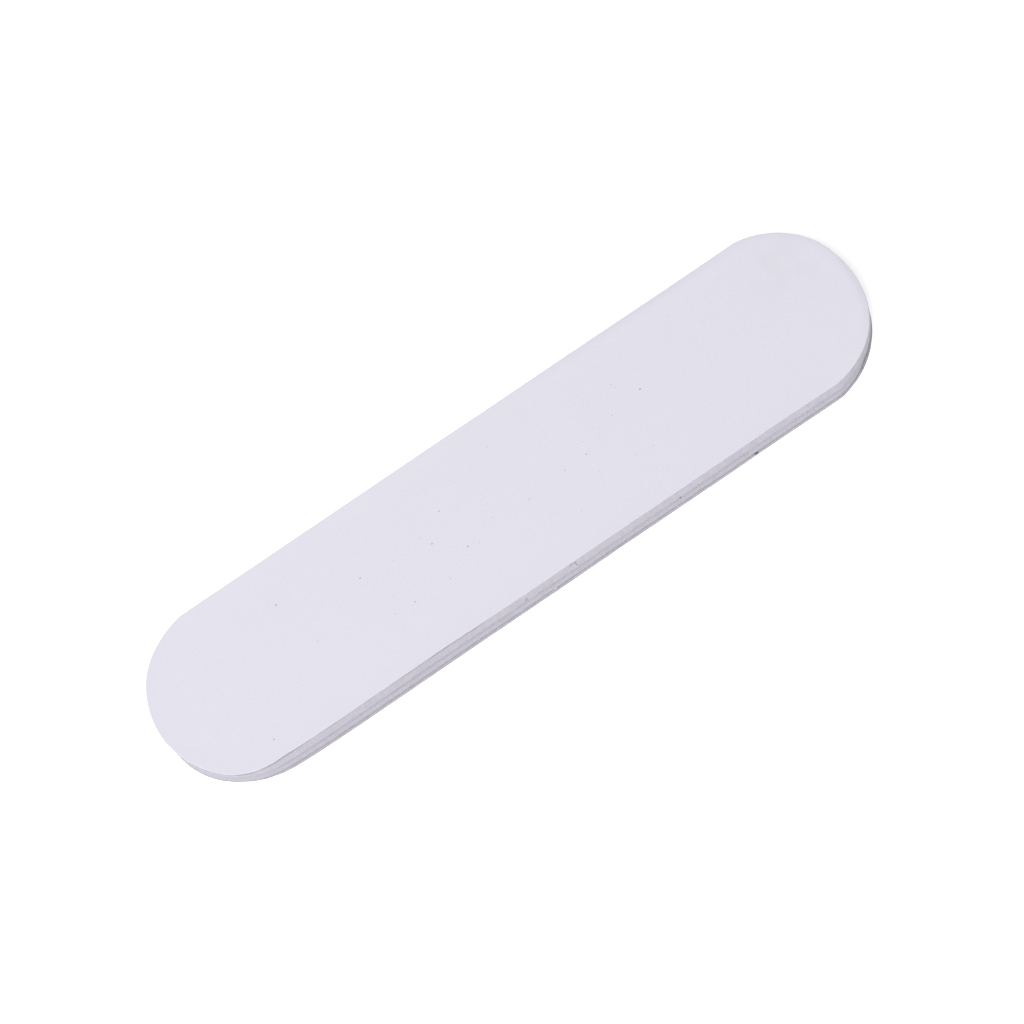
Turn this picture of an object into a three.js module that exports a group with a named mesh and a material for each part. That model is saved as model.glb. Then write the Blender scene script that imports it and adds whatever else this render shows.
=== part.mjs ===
// Two-sided nail buffer block: a flat, hand-held laminate with round ends.
//
// It is a stack of die-cut layers, mirrored about its middle: a stiff core
// strip, a foam layer glued to each side of it, and a fine abrasive sheet glued
// to the outside of each foam layer. An abrasive sheet is a paper backing with
// a coat of grit. Every layer is its own closed solid.
//
// Units are millimetres. +X runs along the block, +Y across it and +Z up. The
// origin is at the middle of the underside, where the block rests on a table.

import * as THREE from "three";

// ---------- driving dimensions ----------

const LENGTH = 90; // end to end
const WIDTH = 20.3; // across the straight sides
const END_RADIUS = 10.27; // a little over half the width, so each end meets the sides at a faint corner
const STEPS_PER_END = 32; // straight steps round each end

// Thickness of each kind of layer. The stack of eleven is 4.7 mm thick.
const COAT_THICKNESS = 0.1;
const BACKING_THICKNESS = 0.2;
const FILM_THICKNESS = 0.1;
const FOAM_THICKNESS = 1.65;
const CORE_THICKNESS = 0.4;

// How far each kind of layer's edge lies inside the block's outline. One die cuts
// the whole stack, so the edges are nearly flush: the sheets reach the outline,
// and the foam, the glue and the core spring back a hair behind them.
const SHEET_INSET = 0;
const FOAM_INSET = 0.03;
const FILM_INSET = 0.04;
const CORE_INSET = 0.02;

// The foam is pinched where it is glued, so its rims are round.
const FOAM_RIM_INSET = 0.1;
const FOAM_RIM_HEIGHT = 0.4;
const FOAM_RIM_STEPS = 2;

// ---------- materials ----------

function material(color, roughness) {
  return new THREE.MeshStandardMaterial({ color, roughness, metalness: 0 });
}

const materials = {
  coat: material(0xd0ced8, 0.86), // white aluminium oxide grain in resin
  backing: material(0xb6b3bc, 0.78), // latex-treated paper
  film: material(0xa4a2a7, 0.5), // double-sided acrylic tape
  foam: material(0xaeabb5, 0.9), // closed-cell EVA
  core: material(0x9896a1, 0.48), // polystyrene sheet
};

// ---------- shapes ----------

/** The block's plan outline, drawn in by inset: two straight sides and two end arcs. */
function planOutline(inset) {
  const halfWidth = WIDTH / 2 - inset;
  const radius = END_RADIUS - inset;
  const arcCentre = LENGTH / 2 - END_RADIUS;
  const halfAngle = Math.asin(halfWidth / radius);
  const outline = new THREE.Shape();
  outline.absarc(arcCentre, 0, radius, -halfAngle, halfAngle, false);
  outline.absarc(-arcCentre, 0, radius, Math.PI - halfAngle, Math.PI + halfAngle, false);
  outline.closePath();
  return outline;
}

/** A flat layer with square edges, standing on z = 0. */
function sheetGeometry(thickness, inset) {
  return new THREE.ExtrudeGeometry(planOutline(inset), {
    depth: thickness,
    bevelEnabled: false,
    curveSegments: STEPS_PER_END / 2, // an arc takes two steps for each curve segment
  });
}

/** A foam layer whose top and bottom rims are rounded in, standing on z = 0. */
function foamGeometry() {
  const geometry = new THREE.ExtrudeGeometry(planOutline(FOAM_INSET), {
    depth: FOAM_THICKNESS - 2 * FOAM_RIM_HEIGHT,
    bevelEnabled: true,
    bevelThickness: FOAM_RIM_HEIGHT,
    bevelSize: FOAM_RIM_INSET,
    bevelOffset: -FOAM_RIM_INSET,
    bevelSegments: FOAM_RIM_STEPS,
    curveSegments: STEPS_PER_END / 2,
  });
  geometry.translate(0, 0, FOAM_RIM_HEIGHT);
  return geometry;
}

// ---------- the kinds of layer ----------

const coat = {
  thickness: COAT_THICKNESS,
  material: materials.coat,
  geometry: () => sheetGeometry(COAT_THICKNESS, SHEET_INSET),
};

const backing = {
  thickness: BACKING_THICKNESS,
  material: materials.backing,
  geometry: () => sheetGeometry(BACKING_THICKNESS, SHEET_INSET),
};

const film = {
  thickness: FILM_THICKNESS,
  material: materials.film,
  geometry: () => sheetGeometry(FILM_THICKNESS, FILM_INSET),
};

const foam = {
  thickness: FOAM_THICKNESS,
  material: materials.foam,
  geometry: foamGeometry,
};

const core = {
  thickness: CORE_THICKNESS,
  material: materials.core,
  geometry: () => sheetGeometry(CORE_THICKNESS, CORE_INSET),
};

// ---------- the stack, from the table up ----------

const stack = [
  ["bottom_abrasive_coat", coat],
  ["bottom_backing_paper", backing],
  ["bottom_adhesive_film", film],
  ["lower_foam_layer", foam],
  ["lower_core_adhesive", film],
  ["core_strip", core],
  ["upper_core_adhesive", film],
  ["upper_foam_layer", foam],
  ["top_adhesive_film", film],
  ["top_backing_paper", backing],
  ["top_abrasive_coat", coat],
];

const block = new THREE.Group();
let height = 0;
for (const [name, kind] of stack) {
  const layer = new THREE.Mesh(kind.geometry(), kind.material);
  layer.name = name;
  layer.position.z = height;
  block.add(layer);
  height += kind.thickness;
}

export default block;
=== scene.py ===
"""The looks of a two-sided nail buffer block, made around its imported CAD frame.

Each of the eleven CAD layers is replaced by a finely meshed piece in the same
place. A piece is a closed body lofted through rings that follow the block's
outline. Every ring point knows where it lies along the edge, so that the edges
can wander, fray and pillow as die-cut foam, paper and glue do. Dark grains,
dirt and a torn fibre are pieces of their own.

Lengths are in metres, in the CAD frame: +X along the block, +Z up, and the
origin at the middle of the underside. The near side is the -Y side.
"""

import math

import bmesh
import bpy
import numpy as np
from mathutils import Matrix, Vector, noise


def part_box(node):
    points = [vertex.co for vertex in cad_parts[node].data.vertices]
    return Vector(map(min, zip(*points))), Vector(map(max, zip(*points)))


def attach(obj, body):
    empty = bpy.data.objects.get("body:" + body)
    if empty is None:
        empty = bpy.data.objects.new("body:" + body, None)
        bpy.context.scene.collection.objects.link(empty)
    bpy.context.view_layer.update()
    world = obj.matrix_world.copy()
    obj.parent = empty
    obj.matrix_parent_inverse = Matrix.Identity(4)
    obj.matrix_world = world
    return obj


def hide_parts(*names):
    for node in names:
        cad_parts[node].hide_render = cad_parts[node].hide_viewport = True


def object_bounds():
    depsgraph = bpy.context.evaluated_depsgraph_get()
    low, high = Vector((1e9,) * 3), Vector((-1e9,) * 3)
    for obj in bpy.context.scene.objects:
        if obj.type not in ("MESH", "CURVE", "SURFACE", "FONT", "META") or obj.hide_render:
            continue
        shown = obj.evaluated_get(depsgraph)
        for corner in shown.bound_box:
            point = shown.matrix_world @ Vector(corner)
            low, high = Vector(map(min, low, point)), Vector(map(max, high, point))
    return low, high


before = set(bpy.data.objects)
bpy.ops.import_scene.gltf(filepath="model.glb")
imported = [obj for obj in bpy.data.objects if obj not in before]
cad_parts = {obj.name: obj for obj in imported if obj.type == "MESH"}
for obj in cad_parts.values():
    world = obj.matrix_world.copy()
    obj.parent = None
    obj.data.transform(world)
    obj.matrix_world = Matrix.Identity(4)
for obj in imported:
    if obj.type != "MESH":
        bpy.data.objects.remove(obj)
cad_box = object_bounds()

MM = 0.001
BODY = "root"
LOW, HIGH = cad_box

# ---------- the block's outline ----------

LENGTH = HIGH.x - LOW.x
WIDTH = HIGH.y - LOW.y
THICKNESS = HIGH.z - LOW.z
HALF_WIDTH = WIDTH / 2
END_RADIUS = 1.012 * HALF_WIDTH  # each end meets the sides at a faint corner
SPINE = LENGTH / 2 - END_RADIUS  # from the middle to the centre of each end's arc
RING_STEP = 0.15 * MM  # spacing of the points round a ring


def trace_outline():
    """The outline's points and, for each, the unit vector that leads out to it from the spine."""
    half_angle = math.asin(HALF_WIDTH / END_RADIUS)
    corner = SPINE + END_RADIUS * math.cos(half_angle)
    arc_points = round(2 * half_angle * END_RADIUS / RING_STEP)
    side_points = round(2 * corner / RING_STEP)
    arc = np.linspace(-half_angle, half_angle, arc_points, endpoint=False)
    side = np.linspace(corner, -corner, side_points, endpoint=False)
    right_end = np.column_stack([SPINE + END_RADIUS * np.cos(arc), END_RADIUS * np.sin(arc)])
    far_side = np.column_stack([side, np.full(side_points, HALF_WIDTH)])
    points = np.vstack([right_end, far_side, -right_end, -far_side])
    spine = np.column_stack([np.clip(points[:, 0], -SPINE, SPINE), np.zeros(len(points))])
    outward = points - spine
    return points, outward / np.linalg.norm(outward, axis=1)[:, None]


def distance_round(points):
    """How far round the edge each point lies from the -X tip, and the whole way round."""
    steps = np.linalg.norm(np.roll(points, -1, axis=0) - points, axis=1)
    gone = np.cumsum(steps) - steps
    return gone - gone[np.argmin(points[:, 0])], steps.sum()


OUTLINE, OUTWARD = trace_outline()
ROUND, WAY_ROUND = distance_round(OUTLINE)
RING = len(OUTLINE)


# ---------- irregular edges ----------

def roughness(seed, rows, along, amplitude, rows_per_bump=1.0):
    """Smooth random values for rows of ring points. Along the ring, a bump is about so long."""
    values = np.random.default_rng(seed).standard_normal((rows, RING))
    waves_along = np.fft.fftfreq(RING, RING_STEP)[None, :] * along
    waves_across = np.fft.fftfreq(rows)[:, None] * rows_per_bump
    smooth = np.exp(-2 * (waves_along ** 2 + waves_across ** 2))
    values = np.fft.ifft2(np.fft.fft2(values) * smooth).real
    return values * (amplitude / values.std())


def wander(seed, wavelength, amplitude):
    """A smooth random value for each ring point, as a cut edge wanders."""
    return roughness(seed, 1, wavelength, amplitude)[0]


def way_from(place):
    """How far each ring point lies past a place round the edge. Both are in mm.

    Places are counted from the -X tip: above 0 along the near side, below 0 along the far side.
    """
    whole = WAY_ROUND / MM
    return (ROUND / MM - place + whole / 2) % whole - whole / 2


def bump(place, reach):
    """1 for the ring points at a place round the edge, and less away from it. Both are in mm."""
    return np.exp(-(way_from(place) / reach) ** 2)


def ease(value):
    """0 below 0 and 1 above 1, with a smooth turn between."""
    held = np.clip(value, 0, 1)
    return held * held * (3 - 2 * held)


# ---------- how the die cuts the block ----------

UPPER_CURL = 0.06 * MM  # the upper sheet curls up this far at its rim
CURL_REACH = 3 * MM
LOWER_PRESS = 0.03 * MM  # the lower rim is pressed in this far
RIM_REACH = 1.1 * MM

# Each list below holds places round the edge: the place, the reach and the amount, all in mm.
# A cut leaves the edge standing out by the amount, or in where it is below 0.
UPPER_CUT = [(-7.5, 3.5, 0.17), (10, 3.6, 0.26), (15, 2, -0.1), (35, 6.5, -0.105),
             (60, 32, 0.08), (95, 7, 0.24), (102, 5, -0.28)]
LOWER_CUT = [(11, 4, -0.32), (14.2, 1.3, -0.13), (24, 13, 0.1), (50, 40, 0.07)]
UPPER_ROLL = [(97, 7, 0.27), (-78, 16, 0.15)]  # where the upper rim is rolled down instead

# Nicks in the edge: the place round it, the height, the reaches along and up, and the depth, in mm.
NICKS = [(52.7, 3.95, 0.16, 0.2, 0.4), (53.1, 3.75, 0.14, 0.2, 0.35), (46.7, 2.9, 0.15, 0.22, 0.45)]
NICK_REACH = 0.6 * MM  # how far in from the edge a nick is felt


def summed(places):
    """The sum of some places' bumps, for each ring point."""
    return sum(amount * MM * bump(place, reach) for place, reach, amount in places)


BLADE_WANDER = wander(42, wavelength=9 * MM, amplitude=0.012 * MM)  # every layer shares it
UPPER_ERROR = summed(UPPER_CUT) + BLADE_WANDER
LOWER_ERROR = summed(LOWER_CUT) + BLADE_WANDER
UPPER_PRESS = summed(UPPER_ROLL)


def nick_depth(z):
    """How deep the nicks cut into the edge at a height, for each ring point."""
    depth = np.zeros(RING)
    for place, height, along, up, deepest in NICKS:
        depth += deepest * MM * bump(place, along) * math.exp(-((z / MM - height) / up) ** 2)
    return depth


def ring(inset, z):
    """Ring points inset from the outline at a height, moved as the die leaves them."""
    inset = np.broadcast_to(inset, RING)
    inset = inset + nick_depth(z) * np.clip(1 - inset / NICK_REACH, 0, 1)
    level = (z - LOW.z) / THICKNESS
    error = UPPER_ERROR * level + LOWER_ERROR * (1 - level)
    plan = OUTLINE + OUTWARD * (error * (1 - inset / HALF_WIDTH) - inset)[:, None]
    near_rim = np.clip(1 - inset / RIM_REACH, 0, 1) ** 2
    curl = UPPER_CURL * level * np.clip(1 - inset / CURL_REACH, 0, 1) ** 2
    press = UPPER_PRESS * level - LOWER_PRESS * (1 - level)
    return np.column_stack([plan, z + curl - press * near_rim])


def spine_ring(z):
    """The ring drawn in until it lies on the spine."""
    return np.column_stack([np.clip(OUTLINE[:, 0], -SPINE, SPINE), np.zeros(RING), np.full(RING, z)])


# ---------- meshes ----------

OPEN_FACE_INSETS = [9, 7.5, 6, 4.5, 3.2, 2.2, 1.5, 1.1, 0.8, 0.55, 0.36, 0.22, 0.12, 0.05]  # mm
GLUED_FACE_INSETS = [1.5, 0.9, 0.4]  # mm
SHARP_ANGLE = math.radians(45)
WELD = 0.001 * MM


def face_rings(edge, z, is_open):
    """Rings of a flat face, from its middle out to just short of its edge."""
    if not is_open:
        return [ring(edge + inset * MM, z) for inset in GLUED_FACE_INSETS]
    return [spine_ring(z)] + [ring(edge + inset * MM, z) for inset in OPEN_FACE_INSETS]


def add_piece(name, mesh, material):
    """Shows a mesh as a smooth-shaded piece that rides on the block."""
    mesh.shade_smooth()
    mesh.set_sharp_from_angle(angle=SHARP_ANGLE)
    mesh.materials.append(material)
    piece = bpy.data.objects.new(name, mesh)
    bpy.context.scene.collection.objects.link(piece)
    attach(piece, BODY)
    return piece


def layer_piece(node, sides, material, open_top=False, open_bottom=False):
    """A closed piece in place of a CAD node. sides are its rim rings' (inset, z), top to bottom."""
    rings = face_rings(*sides[0], open_top)
    rings += [ring(inset, z) for inset, z in sides]
    rings += reversed(face_rings(*sides[-1], open_bottom))
    starts = np.arange(len(rings) - 1)[:, None] * RING
    here = np.arange(RING)[None, :]
    following = (here + 1) % RING
    corners = [starts + here, starts + RING + here, starts + RING + following, starts + following]
    faces = np.stack(corners, axis=-1).reshape(-1, 4).tolist()
    if not open_top:
        faces.append(list(range(RING)))
    if not open_bottom:
        faces.append([(len(rings) - 1) * RING + i for i in reversed(range(RING))])
    mesh = bpy.data.meshes.new(node + "_mesh")
    mesh.from_pydata(np.vstack(rings).tolist(), [], faces)
    weld(mesh)
    piece = add_piece(node + "_detailed", mesh, material)
    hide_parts(node)
    return piece


def weld(mesh):
    """Joins points that lie together, as the rings' points on the spine do."""
    body = bmesh.new()
    body.from_mesh(mesh)
    bmesh.ops.remove_doubles(body, verts=body.verts, dist=WELD)
    bmesh.ops.recalc_face_normals(body, faces=body.faces)
    body.to_mesh(mesh)
    body.free()


def heights(node):
    """The heights of a CAD layer's top and bottom."""
    low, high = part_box(node)
    return high.z, low.z


# ---------- the layers ----------

COAT_ROUNDING = 0.07 * MM
COAT_RIM = [(1, 0), (0.6, 0.1), (0.3, 0.3), (0.1, 0.6), (0, 1)]  # inwards and down, as shares of it


def coat_piece(node, edge, material, is_top):
    """A grit coat: an open face, a rounded rim and a glued face."""
    top, bottom = heights(node)
    sides = [(edge + inwards * COAT_ROUNDING, top - down * COAT_ROUNDING) for inwards, down in COAT_RIM]
    sides.append((edge, bottom))
    if not is_top:
        sides = [(inset, top + bottom - z) for inset, z in reversed(sides)]
    return layer_piece(node, sides, material, open_top=is_top, open_bottom=not is_top)


PAPER_ROWS = 4


def paper_piece(node, edge, material, seed):
    """A paper backing with a slightly furred cut edge."""
    fur = roughness(seed, PAPER_ROWS, along=0.5 * MM, amplitude=0.006 * MM)
    sides = [(edge + row, z) for row, z in zip(fur, np.linspace(*heights(node), PAPER_ROWS))]
    return layer_piece(node, sides, material)


GLUE_CREEP = 0.012 * MM  # how far the thick glue under the upper sheet creeps in and out
GLUE_ROUNDING = 1.5  # a film's edge is rounded by this share of its creep


def film_piece(node, inset, material, seed, creep=GLUE_CREEP):
    """A glue film whose edge creeps in and out, and is rounded."""
    top, bottom = heights(node)
    edge = inset + wander(seed, wavelength=1.5 * MM, amplitude=creep)
    rim = edge + GLUE_ROUNDING * creep
    sides = [(rim, top), (edge, (top + bottom) / 2), (rim, bottom)]
    return layer_piece(node, sides, material)


FOAM_ROWS = 17
PINCH_POWER = 2.2  # the higher it is, the nearer to the foam's top and bottom the pinch stays


def foam_piece(node, material, seed, middle, top_rim, bottom_rim):
    """A foam layer, pillowed between its rims. Its insets are given at the middle and at each rim."""
    top, bottom = heights(node)
    shares = (1 - np.cos(np.linspace(0, math.pi, FOAM_ROWS))) / 2
    cells = roughness(seed, FOAM_ROWS, along=0.5 * MM, amplitude=0.006 * MM, rows_per_bump=3)
    cut = wander(seed + 1, wavelength=1.6 * MM, amplitude=0.005 * MM)
    sides = []
    for row, share in enumerate(shares):
        rim = top_rim if share < 0.5 else bottom_rim
        pinch = abs(2 * share - 1) ** PINCH_POWER
        inset = middle + (rim - middle) * pinch + cut + cells[row]
        sides.append((inset, top + (bottom - top) * share))
    piece = layer_piece(node, sides, material)
    return piece


CORE_BEVEL = 0.03 * MM


def core_piece(node, inset, material, seed):
    """The stiff core strip, cut cleanly."""
    top, bottom = heights(node)
    edge = inset + wander(seed, wavelength=12 * MM, amplitude=0.003 * MM)
    rim = edge + CORE_BEVEL
    sides = [(rim, top), (edge, top - CORE_BEVEL), (edge, bottom + CORE_BEVEL), (rim, bottom)]
    return layer_piece(node, sides, material)


# ---------- materials ----------

class Material:
    """A procedural material under construction: its nodes read the place in the CAD frame."""

    def __init__(self, name, specular):
        self.made = bpy.data.materials.new(name)
        self.made.use_nodes = True
        self.tree = self.made.node_tree
        self.surface = self.tree.nodes["Principled BSDF"]
        self.surface.inputs["Specular IOR Level"].default_value = specular
        self.place = self.add("ShaderNodeTexCoord").outputs["Object"]

    def add(self, kind, inputs=None, **settings):
        """Adds a node. inputs are values or other nodes' outputs, by socket name or number."""
        node = self.tree.nodes.new(kind)
        for setting, value in settings.items():
            setattr(node, setting, value)
        for socket, value in (inputs or {}).items():
            if isinstance(value, bpy.types.NodeSocket):
                self.tree.links.new(value, node.inputs[socket])
            else:
                node.inputs[socket].default_value = value
        return node

    def stretched(self, x, y, z):
        """The place, scaled along each axis."""
        inputs = {0: self.place, 1: (x, y, z)}
        return self.add("ShaderNodeVectorMath", inputs, operation="MULTIPLY").outputs[0]

    def cloud(self, size, detail=2.0, place=None):
        """Smooth noise from 0 to 1 with features of a size."""
        inputs = {"Vector": place or self.place, "Scale": 1 / size, "Detail": detail}
        return self.add("ShaderNodeTexNoise", inputs).outputs[0]

    def cells(self, size):
        """The distance to the nearest of scattered points, as shares of a cell's size."""
        inputs = {"Vector": self.place, "Scale": 1 / size}
        return self.add("ShaderNodeTexVoronoi", inputs).outputs["Distance"]

    def between(self, value, start, end, low=0.0, high=1.0):
        """The value's range from start to end, turned into low to high and held within them."""
        inputs = {"Value": value, "From Min": start, "From Max": end, "To Min": low, "To Max": high}
        return self.add("ShaderNodeMapRange", inputs).outputs[0]

    def blend(self, share, first, second):
        """Two colours mixed by a share. Each is a node's output or a plain colour."""
        first, second = [(*end, 1) if isinstance(end, tuple) else end for end in (first, second)]
        return self.add("ShaderNodeMix", {0: share, 6: first, 7: second}, data_type="RGBA").outputs[2]

    def combine(self, first, second, operation="ADD"):
        """Arithmetic on two values."""
        return self.add("ShaderNodeMath", {0: first, 1: second}, operation=operation).outputs[0]

    def finish(self, colour, rough, height, relief):
        """Connects the colour, the roughness and a height map that rises by the relief, in metres."""
        self.tree.links.new(colour, self.surface.inputs["Base Color"])
        self.tree.links.new(rough, self.surface.inputs["Roughness"])
        bumps = self.add("ShaderNodeBump", {"Height": height, "Distance": relief, "Strength": 1.0})
        self.tree.links.new(bumps.outputs[0], self.surface.inputs["Normal"])
        return self.made


def shade(colour, share):
    """A colour made lighter or darker."""
    return tuple(channel * share for channel in colour)


COAT = (0.630, 0.617, 0.689)
PAPER = (0.465, 0.45, 0.505)
FOAM = (0.42, 0.406, 0.462)
UPPER_GLUE = (0.30, 0.29, 0.315)
LOWER_GLUE = (0.44, 0.43, 0.455)
CORE = (0.315, 0.302, 0.354)
GRAIN = (0.39, 0.38, 0.405)
DIRT = (0.09, 0.09, 0.098)
SMUDGE = (0.55, 0.53, 0.56)

UPPER_COAT_EDGE = shade(PAPER, 1.05)  # the grit coats are duller where they are cut
# The lower coat's cut edge is darker than the upper one's: painted shade near the floor.
SHADED_LOWER_COAT_EDGE = shade(PAPER, 0.88)
SHADED_LOWER_PAPER = shade(PAPER, 0.83)  # painted shade: the layers below the core are darker than the ones above it
SHADED_LOWER_FOAM = shade(FOAM, 0.95)
UPPER_CORE_GLUE = shade(FOAM, 0.88)
FLAKE = shade(FOAM, 1.18)
FIBRE = shade(PAPER, 1.35)

SMUDGE_PLACE = (39 * MM, 5 * MM, HIGH.z)
SMUDGE_SIZE = 6 * MM
SMUDGE_STRENGTH = 0.22


def coat_material(name, cut_tone):
    """White abrasive grain in resin, duller where it is cut, with a faint smudge near the +X end. The
    lower coat's cut edge is darker still as painted shade.
    """
    look = Material(name, specular=0.25)
    grains = look.cells(0.09 * MM)
    patches = look.cloud(7 * MM, detail=3)
    speckle = look.cloud(0.16 * MM, detail=3)
    colour = look.blend(look.between(speckle, 0.3, 0.7), shade(COAT, 0.982), shade(COAT, 1.018))
    colour = look.blend(look.between(patches, 0.35, 0.65, high=0.25), colour, shade(COAT, 0.985))
    away = look.add("ShaderNodeVectorMath", {0: look.place, 1: SMUDGE_PLACE}, operation="DISTANCE")
    smudge = look.between(away.outputs["Value"], SMUDGE_SIZE, 0.2 * SMUDGE_SIZE, high=SMUDGE_STRENGTH)
    blotches = look.between(look.cloud(2.5 * MM, detail=3), 0.4, 0.6)
    smudge = look.combine(smudge, blotches, "MULTIPLY")
    colour = look.blend(smudge, colour, SMUDGE)
    normal = look.add("ShaderNodeNewGeometry").outputs["Normal"]
    normal_z = look.add("ShaderNodeSeparateXYZ", {0: normal}).outputs[2]
    upright = look.between(look.combine(normal_z, 0, "ABSOLUTE"), 0.9, 0.3)
    colour = look.blend(upright, colour, cut_tone)
    rough = look.between(speckle, 0.3, 0.7, low=0.8, high=0.92)
    return look.finish(colour, rough, look.combine(grains, speckle), relief=0.012 * MM)


def paper_material(name, tone):
    """Latex-treated paper, with fibres that lie flat in the sheet."""
    look = Material(name, specular=0.3)
    fibres = look.cloud(0.5 * MM, detail=4, place=look.stretched(1, 1, 12))
    colour = look.blend(look.between(fibres, 0.35, 0.65), shade(tone, 0.93), shade(tone, 1.03))
    rough = look.between(fibres, 0.3, 0.7, low=0.7, high=0.85)
    return look.finish(colour, rough, fibres, relief=0.008 * MM)


def foam_material(name, tone):
    """Closed-cell foam, with cut cells and the blade's upright drag marks."""
    look = Material(name, specular=0.2)
    cells = look.cells(0.14 * MM)
    drag = look.cloud(0.35 * MM, detail=3, place=look.stretched(1, 1, 0.15))
    colour = look.blend(look.between(cells, 0, 0.5), shade(tone, 0.91), shade(tone, 1.04))
    colour = look.blend(look.between(drag, 0.4, 0.6, high=0.6), colour, shade(tone, 0.92))
    height = look.combine(cells, look.combine(drag, 0.8, "MULTIPLY"))
    rough = look.between(cells, 0, 0.5, low=0.95, high=0.85)
    return look.finish(colour, rough, height, relief=0.02 * MM)


def glue_material(name, tone):
    """Clear tape glue that has caught dust along its edge."""
    look = Material(name, specular=0.45)
    dust = look.cloud(0.3 * MM, detail=4)
    colour = look.blend(look.between(dust, 0.42, 0.62), shade(tone, 0.95), shade(tone, 1.04))
    rough = look.between(dust, 0.4, 0.6, low=0.35, high=0.7)
    return look.finish(colour, rough, dust, relief=0.01 * MM)


def core_material():
    """Satin plastic with fine lines dragged along its cut edge."""
    look = Material("core_plastic", specular=0.4)
    lines = look.cloud(0.8 * MM, detail=3, place=look.stretched(1, 1, 16))
    colour = look.blend(look.between(lines, 0.35, 0.65), shade(CORE, 0.9), shade(CORE, 1.0))
    rough = look.between(lines, 0.3, 0.7, low=0.4, high=0.55)
    return look.finish(colour, rough, lines, relief=0.01 * MM)


def grain_material(name, tone):
    """Dark mineral grain."""
    look = Material(name, specular=0.4)
    speckle = look.cloud(0.03 * MM)
    colour = look.blend(look.between(speckle, 0.35, 0.65), shade(tone, 0.6), shade(tone, 1.5))
    rough = look.between(speckle, 0.3, 0.7, low=0.4, high=0.7)
    return look.finish(colour, rough, speckle, relief=0.004 * MM)


# ---------- the block ----------

def sheet_edge(seed):
    """The edge that an abrasive sheet's coat and paper share."""
    slow = wander(seed, wavelength=7 * MM, amplitude=0.005 * MM)
    return slow + wander(seed + 1, wavelength=0.6 * MM, amplitude=0.005 * MM)


# The upper glue lies back under the sheet. Past each start it is squeezed out further by an amount,
# until the end, and at a few spots there is more or less of it. Places and amounts are in mm.
UPPER_GLUE_INSET = 0.1
SQUEEZE_STARTS = [(-8, 0.1), (4, 0.03)]
SQUEEZE_RISE = 3
SQUEEZE_END = 45
SQUEEZE_FALL = 5
SQUEEZE_SPOTS = [(14, 3, 0.05), (24, 4, -0.03), (38, 4, 0.04)]


def upper_glue_inset():
    """The inset of the glue under the upper sheet, for each ring point."""
    squeezed = sum(amount * ease(way_from(place) / SQUEEZE_RISE) for place, amount in SQUEEZE_STARTS)
    squeezed = squeezed * ease((SQUEEZE_END - way_from(0)) / SQUEEZE_FALL)
    return (UPPER_GLUE_INSET - squeezed) * MM - summed(SQUEEZE_SPOTS)


# The lower foam is drawn back above the lower sheet: a little all round, more along the near side,
# and through its whole height near the +X end. Places and amounts are in mm.
LEDGE_ALL_ROUND = 0.04
LEDGE_NEAR_SIDE = 0.26
LEDGE_START = 11
LEDGE_RISE = 5
LEDGE_END = 100
LEDGE_FALL = 8
LEDGE_SPOTS = [(94, 3.5, 0.05)]
WAIST_SPOTS = [(94, 3.5, 0.28)]
LOWER_GLUE_GAPS = [(7, 5, 0.25)]  # where the glue below the foam is drawn back


def lower_ledge():
    """The inset of the lower foam's bottom rim, for each ring point."""
    past = way_from(0)
    along_side = ease((past - LEDGE_START) / LEDGE_RISE) * ease((LEDGE_END - past) / LEDGE_FALL)
    return (LEDGE_ALL_ROUND + LEDGE_NEAR_SIDE * along_side) * MM + summed(LEDGE_SPOTS)


def build_upper_half():
    """The layers above the core, from the top down."""
    edge = sheet_edge(11)
    coat_piece("top_abrasive_coat", edge, coat_material("upper_coat", UPPER_COAT_EDGE), is_top=True)
    paper_piece("top_backing_paper", edge, paper_material("upper_paper", PAPER), 21)
    film_piece("top_adhesive_film", upper_glue_inset(), glue_material("upper_sheet_glue", UPPER_GLUE), 31)
    foam_piece("upper_foam_layer", foam_material("upper_foam", FOAM), 41,
               middle=0.02 * MM, top_rim=0.05 * MM, bottom_rim=0.03 * MM)


CORE_INSET = 0.02 * MM
CORE_GLUE_CREEP = 0.002 * MM


def build_core():
    """The core strip between its two glue films."""
    upper_glue = glue_material("upper_core_glue", UPPER_CORE_GLUE)
    lower_glue = glue_material("lower_core_glue", CORE)
    film_piece("upper_core_adhesive", CORE_INSET, upper_glue, 32, CORE_GLUE_CREEP)
    core_piece("core_strip", CORE_INSET, core_material(), 51)
    film_piece("lower_core_adhesive", CORE_INSET, lower_glue, 33, CORE_GLUE_CREEP)


LOWER_GLUE_CREEP = 0.008 * MM


def build_lower_half():
    """The layers below the core, from the top down."""
    edge = sheet_edge(13)
    foam_piece("lower_foam_layer", foam_material("lower_foam", SHADED_LOWER_FOAM), 44,
               middle=0.03 * MM + summed(WAIST_SPOTS), top_rim=0.05 * MM, bottom_rim=lower_ledge())
    film_piece("bottom_adhesive_film", 0.03 * MM + summed(LOWER_GLUE_GAPS),
               glue_material("lower_sheet_glue", LOWER_GLUE), 34, LOWER_GLUE_CREEP)
    paper_piece("bottom_backing_paper", edge, paper_material("lower_paper", SHADED_LOWER_PAPER), 22)
    coat_piece("bottom_abrasive_coat", edge, coat_material("lower_coat", SHADED_LOWER_COAT_EDGE), is_top=False)


# ---------- grains, dirt and torn paper ----------

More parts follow.
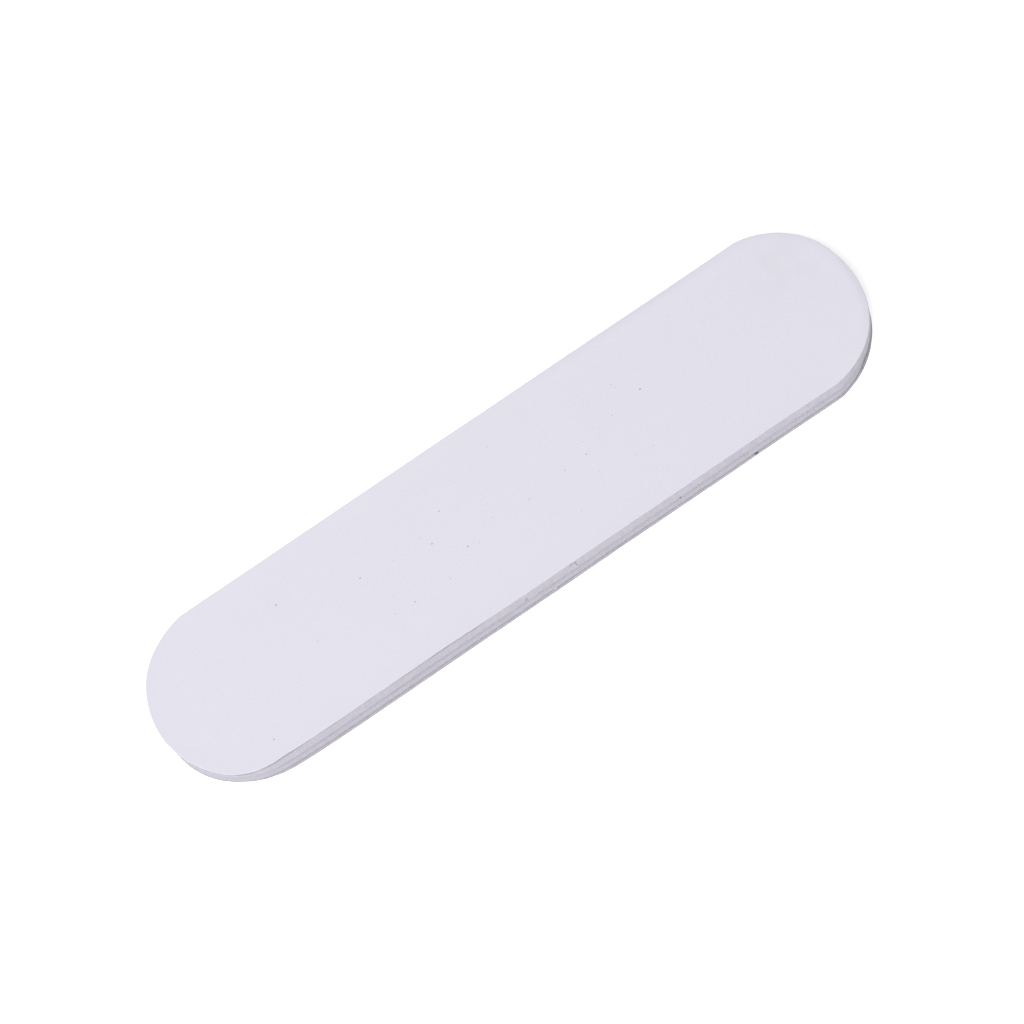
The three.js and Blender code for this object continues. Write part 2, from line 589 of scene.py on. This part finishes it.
LARGE_GRAINS = [(-6.3, -2), (-17.8, 2), (-9.3, 0.6), (-6.7, 3.3), (9.9, -0.8), (18.7, 2), (-14.3, -3.9),
                (-27, 4.9), (-35, -7.9)]  # x and y, in mm
LARGE_HALVES = (0.11, 0.13)  # the range of their half sizes, in mm
SMALL_GRAINS = 48
SMALL_HALVES = (0.03, 0.08)
GRAIN_CROWD = (-6 * MM, 1 * MM)  # the small grains are thickest round this place
GRAIN_SPREAD = (19 * MM, 4.5 * MM)
GRAIN_BORDER = 0.8 * HALF_WIDTH  # none lies further than this from the middle line
GRAIN_STRETCH = (0.8, 1.3)  # the range of their lengths, as shares of their widths
GRAIN_FLATNESS = 0.6
GRAIN_DEPTH = 0.2  # how deep a grain's middle lies, as a share of its half size

LUMP_ROUGHNESS = 0.35  # how far a lump's surface strays, as a share of its half size
LUMP_WAVES = 1.3  # the higher it is, the finer the lump's bumps


def lump(body, place, size, seed, detail=1):
    """Adds a rough closed lump to a mesh in the making. size is its half size along X, Y and Z."""
    made = bmesh.ops.create_icosphere(body, subdivisions=detail, radius=1)
    for vert in made["verts"]:
        rough = 1 + LUMP_ROUGHNESS * noise.noise(vert.co * LUMP_WAVES + Vector((seed, 2 * seed, 0)))
        vert.co = place + Vector([part * half * rough for part, half in zip(vert.co, size)])


def finish_detail(name, body, material):
    """Turns a mesh in the making into a piece."""
    mesh = bpy.data.meshes.new(name + "_mesh")
    body.to_mesh(mesh)
    body.free()
    return add_piece(name, mesh, material)


def grains_piece(name, face_z, outward, seed, material):
    """Dark grains among the white ones, bedded in an abrasive face. outward is 1 or -1 along Z."""
    random = np.random.default_rng(seed)
    scattered = random.normal(GRAIN_CROWD, GRAIN_SPREAD, (SMALL_GRAINS, 2))
    within = np.clip(scattered, (-SPINE, -GRAIN_BORDER), (SPINE, GRAIN_BORDER))
    places = [(x * MM * outward, y * MM, random.uniform(*LARGE_HALVES)) for x, y in LARGE_GRAINS]
    places += [(x * outward, y, random.uniform(*SMALL_HALVES)) for x, y in within]
    body = bmesh.new()
    for number, (x, y, half) in enumerate(places):
        size = Vector((half * random.uniform(*GRAIN_STRETCH), half, GRAIN_FLATNESS * half)) * MM
        middle = Vector((x, y, face_z - GRAIN_DEPTH * half * MM * outward))
        lump(body, middle, size, seed + number)
    return finish_detail(name, body, material)


def edge_place(place, height):
    """The place on the edge at a distance round it and a height, and the way out. In mm."""
    index = int(np.argmin(np.abs(way_from(place))))
    return Vector(ring(0, height * MM)[index]), Vector((*OUTWARD[index], 0))


# Specks of dirt: the place round the edge, the height and the half size, in mm.
EDGE_DIRT = [(76.1, 0.55, 0.23), (66.5, 2.45, 0.12), (91, 0.6, 0.07), (31, 0.7, 0.06), (59, 0.75, 0.05)]


def edge_dirt_piece(material):
    """Specks of dirt stuck to the edge, most of them on the lower glue line."""
    body = bmesh.new()
    for number, (place, height, half) in enumerate(EDGE_DIRT):
        spot, out = edge_place(place, height)
        size = Vector((half, 0.6 * half, 0.7 * half)) * MM
        lump(body, spot - out * 0.3 * half * MM, size, number, detail=2)
    return finish_detail("edge_dirt", body, material)


FLAKE_PLACE = (50, 0.8)  # round the edge and up, in mm
FLAKE_SIZE = Vector((0.2, 0.1, 0.14)) * MM
FLAKE_DEPTH = 0.1 * MM  # how deep its middle sits in the edge


def flake_piece(material):
    """A pale flake of foam held by the lower glue line."""
    body = bmesh.new()
    spot, out = edge_place(*FLAKE_PLACE)
    lump(body, spot - out * FLAKE_DEPTH, FLAKE_SIZE, seed=5, detail=2)
    return finish_detail("foam_flake", body, material)


FIBRE_TOP = (52.9, 4.2)  # round the edge and up, in mm
FIBRE_BOTTOM = (53.1, 2.7)
FIBRE_SIDES = 8
FIBRE_STEPS = 24
FIBRE_RADIUS = 0.045 * MM
FIBRE_TIP_RADIUS = 0.35 * FIBRE_RADIUS
FIBRE_LIFT = 0.03 * MM  # how far its ends lie off the edge
FIBRE_BOW = 0.05 * MM  # how much further its middle does
FIBRE_SWAY = 0.06 * MM


def fibre_piece(material):
    """A paper fibre pulled out below the upper sheet and lying down the foam."""
    top, out = edge_place(*FIBRE_TOP)
    bottom, _ = edge_place(*FIBRE_BOTTOM)
    along = out.cross(Vector((0, 0, 1)))
    body = bmesh.new()
    loops = []
    for step in range(FIBRE_STEPS + 1):
        share = step / FIBRE_STEPS
        off = FIBRE_LIFT + FIBRE_BOW * math.sin(math.pi * share)
        centre = top.lerp(bottom, share) + out * off + along * FIBRE_SWAY * math.sin(5 * share)
        fullness = math.sin(math.pi * min(0.96, share + 0.1))
        radius = FIBRE_TIP_RADIUS + (FIBRE_RADIUS - FIBRE_TIP_RADIUS) * fullness
        angles = [2 * math.pi * side / FIBRE_SIDES for side in range(FIBRE_SIDES)]
        spokes = [out * math.cos(angle) + along * math.sin(angle) for angle in angles]
        loops.append([body.verts.new(centre + spoke * radius) for spoke in spokes])
    for upper, lower in zip(loops, loops[1:]):
        for side in range(FIBRE_SIDES):
            after = (side + 1) % FIBRE_SIDES
            body.faces.new((upper[side], upper[after], lower[after], lower[side]))
    body.faces.new(loops[0])
    body.faces.new(loops[-1])
    bmesh.ops.recalc_face_normals(body, faces=body.faces)
    return finish_detail("torn_fibre", body, material)


def build_details():
    """The small things that lie on the block's faces and edge."""
    grain = grain_material("dark_grain", GRAIN)
    grains_piece("upper_dark_grains", HIGH.z, 1, 61, grain)
    grains_piece("lower_dark_grains", LOW.z, -1, 62, grain)
    edge_dirt_piece(grain_material("dirt", DIRT))
    flake_piece(foam_material("flake_foam", FLAKE))
    fibre_piece(paper_material("fibre_paper", FIBRE))


# ---------- studio ----------

DOME_STRENGTH = 0.55
KEY_PLACE = Vector((-0.6, -0.52, 1.15))
KEY_SIZE = 1
KEY_POWER = 17.8  # watts
FLOOR_GLOW = 0.41
FLOOR_SIZE = 6  # metres
FLOOR_DROP = 0.02 * MM  # how far the floor lies below the CAD frame's underside
FLOOR_WHITE = 0.97


def build_studio():
    """A pale light-table floor, a white dome and one soft light high over the block's near -X corner."""
    bpy.ops.mesh.primitive_plane_add(size=FLOOR_SIZE, location=(0, 0, LOW.z - FLOOR_DROP))
    floor = bpy.context.object
    floor.name = "floor"
    paint = bpy.data.materials.new("floor_paint")
    paint.use_nodes = True
    surface = paint.node_tree.nodes["Principled BSDF"]
    surface.inputs["Base Color"].default_value = (FLOOR_WHITE, FLOOR_WHITE, FLOOR_WHITE, 1)
    surface.inputs["Roughness"].default_value = 1.0
    surface.inputs["Specular IOR Level"].default_value = 0.0
    surface.inputs["Emission Color"].default_value = (1, 1, 1, 1)
    surface.inputs["Emission Strength"].default_value = FLOOR_GLOW
    floor.data.materials.append(paint)
    world = bpy.data.worlds.new("dome")
    world.use_nodes = True
    background = world.node_tree.nodes["Background"]
    background.inputs["Color"].default_value = (1, 1, 1, 1)
    background.inputs["Strength"].default_value = DOME_STRENGTH
    bpy.context.scene.world = world
    light = bpy.data.lights.new("key", "AREA")
    light.shape = "DISK"
    light.size = KEY_SIZE
    light.energy = KEY_POWER
    lamp = bpy.data.objects.new("key", light)
    bpy.context.scene.collection.objects.link(lamp)
    lamp.location = KEY_PLACE
    lamp.rotation_mode = "QUATERNION"
    lamp.rotation_quaternion = KEY_PLACE.to_track_quat("Z", "Y")


CAMERA_AZIMUTH = math.radians(-4.04)
CAMERA_ELEVATION = math.radians(67.77)
CAMERA_ROLL = math.radians(-30.3)
CAMERA_DISTANCE = 0.4332
CAMERA_AIM = Vector((-0.18 * MM, -0.575 * MM, THICKNESS / 2))
CAMERA_LENS = 140.6  # mm, on a 36 mm sensor


def build_camera():
    """The camera, rolled so that the block lies across the picture."""
    back = Vector((math.sin(CAMERA_AZIMUTH) * math.cos(CAMERA_ELEVATION),
                   -math.cos(CAMERA_AZIMUTH) * math.cos(CAMERA_ELEVATION),
                   math.sin(CAMERA_ELEVATION)))
    right = Vector((math.cos(CAMERA_AZIMUTH), math.sin(CAMERA_AZIMUTH), 0))
    level = Matrix((right, back.cross(right), back)).transposed()
    turned = level @ Matrix.Rotation(CAMERA_ROLL, 3, "Z")
    data = bpy.data.cameras.new("camera")
    data.lens = CAMERA_LENS
    data.clip_start = 0.01
    data.clip_end = 20
    camera = bpy.data.objects.new("camera", data)
    bpy.context.scene.collection.objects.link(camera)
    camera.matrix_world = Matrix.Translation(CAMERA_AIM + back * CAMERA_DISTANCE) @ turned.to_4x4()
    bpy.context.scene.camera = camera


build_camera()
build_studio()
build_upper_half()
build_core()
build_lower_half()
build_details()
bpy.context.scene.view_settings.view_transform = "Standard"
